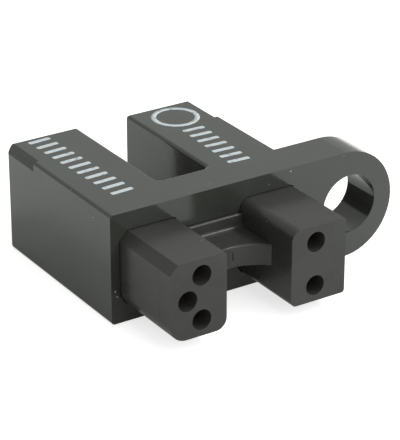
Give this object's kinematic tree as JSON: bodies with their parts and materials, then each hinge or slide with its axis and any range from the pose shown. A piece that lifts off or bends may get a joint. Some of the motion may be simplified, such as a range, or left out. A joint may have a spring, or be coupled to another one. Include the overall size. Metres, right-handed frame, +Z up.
{
  "type": "fork sensor",
  "caption": "Small slotted optical fork sensor: two hollow prongs on a flange with a round screw ear, and two blocks of pin sockets at the rear.",
  "frame": {"origin": "centre of the screw hole at the flange's rear face", "axes": "+X from the fork towards the ear's end, +Y along the screw hole towards the prong tips, +Z up"},
  "size_m": [0.0183, 0.016, 0.0064],
  "materials": {
    "housing_plastic": "semi-gloss moulded black",
    "carrier_plastic": "satin moulded black",
    "detector_resin": "dark filtering resin",
    "emitter_resin": "tinted clear resin",
    "slit_plate_metal": "blackened sheet",
    "tinned_lead": "bright tin",
    "sleeve_brass": "turned",
    "clip_bronze": "gold-plated spring bronze"
  },
  "bodies": {
    "root": {"housing": "housing_plastic", "socket_carrier": "carrier_plastic", "detector_package": "detector_resin", "emitter_package": "emitter_resin", "detector_slit_plate": "slit_plate_metal", "detector_supply_lead": "tinned_lead", "detector_supply_sleeve": "sleeve_brass", "detector_supply_clip": "clip_bronze", "detector_output_lead": "tinned_lead", "detector_output_sleeve": "sleeve_brass", "detector_output_clip": "clip_bronze", "detector_ground_lead": "tinned_lead", "detector_ground_sleeve": "sleeve_brass", "detector_ground_clip": "clip_bronze", "emitter_anode_lead": "tinned_lead", "emitter_anode_sleeve": "sleeve_brass", "emitter_anode_clip": "clip_bronze", "emitter_cathode_lead": "tinned_lead", "emitter_cathode_sleeve": "sleeve_brass", "emitter_cathode_clip": "clip_bronze"}
  },
  "joints": []
}
